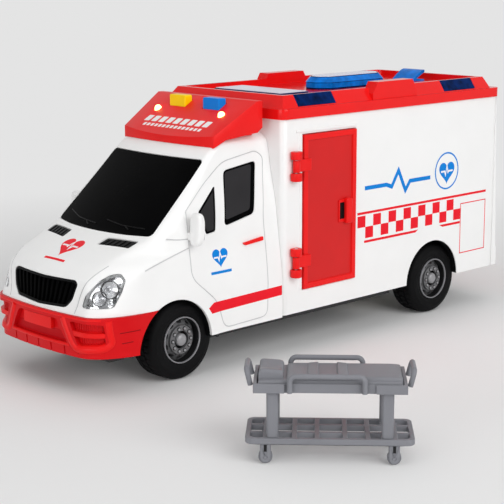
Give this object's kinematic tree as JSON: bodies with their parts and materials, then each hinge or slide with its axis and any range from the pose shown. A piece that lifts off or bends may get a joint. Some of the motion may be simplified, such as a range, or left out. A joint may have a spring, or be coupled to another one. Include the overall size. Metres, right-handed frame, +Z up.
{
  "type": "toy ambulance",
  "caption": "Toy ambulance van with opening doors, press buttons, roof lights, a flywheel drive and a separate wheeled stretcher.",
  "frame": {"origin": "on the floor, in the middle of the width, 1.3 mm ahead of the middle of the wheelbase", "axes": "+X towards the front of the van, +Y towards its left side, +Z up"},
  "size_m": [0.2755, 0.2216, 0.1239],
  "materials": {
    "white_body": "gloss white moulded plastic",
    "red_trim": "gloss red moulded plastic",
    "red_door": "gloss red moulded plastic",
    "black_glazing": "gloss black moulded plastic",
    "blue_lens": "translucent blue plastic",
    "clear_lens": "clear plastic",
    "bright": "vacuum plated plastic",
    "dark_chassis": "matt black moulded plastic",
    "tyre": "matt black",
    "rim": "silver painted plastic",
    "steel": "bright steel wire and pressings",
    "gear": "natural moulded plastic",
    "yellow": "gloss yellow",
    "blue": "gloss blue",
    "board": "green circuit board",
    "cell": "printed metal can",
    "orange_lens": "translucent orange",
    "red_lens": "translucent red",
    "grey": "grey moulded plastic",
    "speaker": "black paper cone and steel basket"
  },
  "bodies": {
    "vehicle": {"chassis": "dark_chassis", "battery_cover": "dark_chassis", "battery_cells": "cell", "chassis_screws": "steel", "speaker": "speaker", "sound_board": "board", "gearbox_case": "gear", "cab_shell": "white_body", "windscreen": "black_glazing", "cab_side_windows": "black_glazing", "grille": "black_glazing", "hood_vents": "black_glazing", "headlamp_lenses": "clear_lens", "headlamp_reflectors": "bright", "front_bumper": "red_trim", "roof_cap": "red_trim", "button_board": "board", "warning_lamps": "orange_lens", "door_mirrors": "white_body", "box_shell": "white_body", "box_floor": "white_body", "box_roof": "red_trim", "curb_lenses": "blue_lens", "roof_light_bar": "blue_lens", "roof_front_panel": "blue_lens", "roof_visor": "blue_lens", "side_hinge_brackets": "red_trim", "side_hinge_pins": "steel", "rear_hinge_pins": "steel", "tail_lamps": "red_lens"},
    "side_door_body": {"side_door": "red_door", "side_door_handle": "red_trim"},
    "rear_door_left_body": {"rear_door_left": "red_door"},
    "rear_door_right_body": {"rear_door_right": "red_door"},
    "yellow_button_body": {"yellow_button": "yellow"},
    "blue_button_body": {"blue_button": "blue"},
    "power_switch_body": {"power_switch": "dark_chassis"},
    "front_wheels": {"front_axle": "steel", "front_left_tyre": "tyre", "front_right_tyre": "tyre", "front_left_rim": "rim", "front_right_rim": "rim"},
    "rear_wheels": {"rear_axle": "steel", "drive_gear": "gear", "rear_left_tyre": "tyre", "rear_right_tyre": "tyre", "rear_left_rim": "rim", "rear_right_rim": "rim"},
    "idler": {"idler_gear": "gear"},
    "flywheel_body": {"flywheel": "steel"},
    "stretcher": {"stretcher_tray": "grey", "stretcher_mattress": "grey", "stretcher_rails": "grey", "stretcher_legs": "grey", "stretcher_base": "grey", "caster_pins": "steel"},
    "caster_1": {"caster_wheel_1": "grey"},
    "caster_2": {"caster_wheel_2": "grey"},
    "caster_3": {"caster_wheel_3": "grey"},
    "caster_4": {"caster_wheel_4": "grey"}
  },
  "joints": [
    {"name": "side_door_hinge", "type": "hinge", "parent": "vehicle", "child": "side_door_body", "pos_m": [0.02074, 0.043, 0.066], "axis": [0, 0, -1], "range_deg": [0, 110]},
    {"name": "rear_door_left_hinge", "type": "hinge", "parent": "vehicle", "child": "rear_door_left_body", "pos_m": [-0.1353, 0.03555, 0.0675], "axis": [0, 0, -1], "range_deg": [0, 110]},
    {"name": "rear_door_right_hinge", "type": "hinge", "parent": "vehicle", "child": "rear_door_right_body", "pos_m": [-0.1353, -0.03555, 0.0675], "axis": [0, 0, 1], "range_deg": [0, 110]},
    {"name": "yellow_button_press", "type": "slide", "parent": "vehicle", "child": "yellow_button_body", "axis": [0, 0, -1], "range_m": [0, 0.0015], "stiffness_N_per_m": 200},
    {"name": "blue_button_press", "type": "slide", "parent": "vehicle", "child": "blue_button_body", "axis": [0, 0, -1], "range_m": [0, 0.0015], "stiffness_N_per_m": 200},
    {"name": "power_switch_slide", "type": "slide", "parent": "vehicle", "child": "power_switch_body", "axis": [1, 0, 0], "range_m": [0, 0.004]},
    {"name": "front_axle_spin", "type": "hinge", "parent": "vehicle", "child": "front_wheels", "pos_m": [0.0853, 0, 0.018], "axis": [0, 1, 0], "continuous": true},
    {"name": "rear_axle_spin", "type": "hinge", "parent": "vehicle", "child": "rear_wheels", "pos_m": [-0.0879, 0, 0.018], "axis": [0, 1, 0], "continuous": true},
    {"name": "idler_spin", "type": "hinge", "parent": "vehicle", "child": "idler", "pos_m": [-0.0784, 0, 0.018], "axis": [0, 1, 0], "continuous": true},
    {"name": "flywheel_spin", "type": "hinge", "parent": "vehicle", "child": "flywheel_body", "pos_m": [-0.0694, 0, 0.018], "axis": [0, 1, 0], "continuous": true},
    {"name": "stretcher_roll", "type": "slide", "parent": "vehicle", "child": "stretcher", "axis": [-0.6871, 0.7266, 0], "range_m": [-0.02, 0.02]},
    {"name": "caster_1_spin", "type": "hinge", "parent": "stretcher", "child": "caster_1", "pos_m": [0.13238, 0.13606, 0.0026], "axis": [-0.7266, -0.6871, 0], "continuous": true},
    {"name": "caster_2_spin", "type": "hinge", "parent": "stretcher", "child": "caster_2", "pos_m": [0.10008, 0.17021, 0.0026], "axis": [-0.7266, -0.6871, 0], "continuous": true},
    {"name": "caster_3_spin", "type": "hinge", "parent": "stretcher", "child": "caster_3", "pos_m": [0.11792, 0.12239, 0.0026], "axis": [-0.7266, -0.6871, 0], "continuous": true},
    {"name": "caster_4_spin", "type": "hinge", "parent": "stretcher", "child": "caster_4", "pos_m": [0.08562, 0.15654, 0.0026], "axis": [-0.7266, -0.6871, 0], "continuous": true}
  ],
  "couplings": [
    {"joint": "idler_spin", "follows": "rear_axle_spin", "ratio": -2.1667},
    {"joint": "flywheel_spin", "follows": "rear_axle_spin", "ratio": 4.3333}
  ]
}
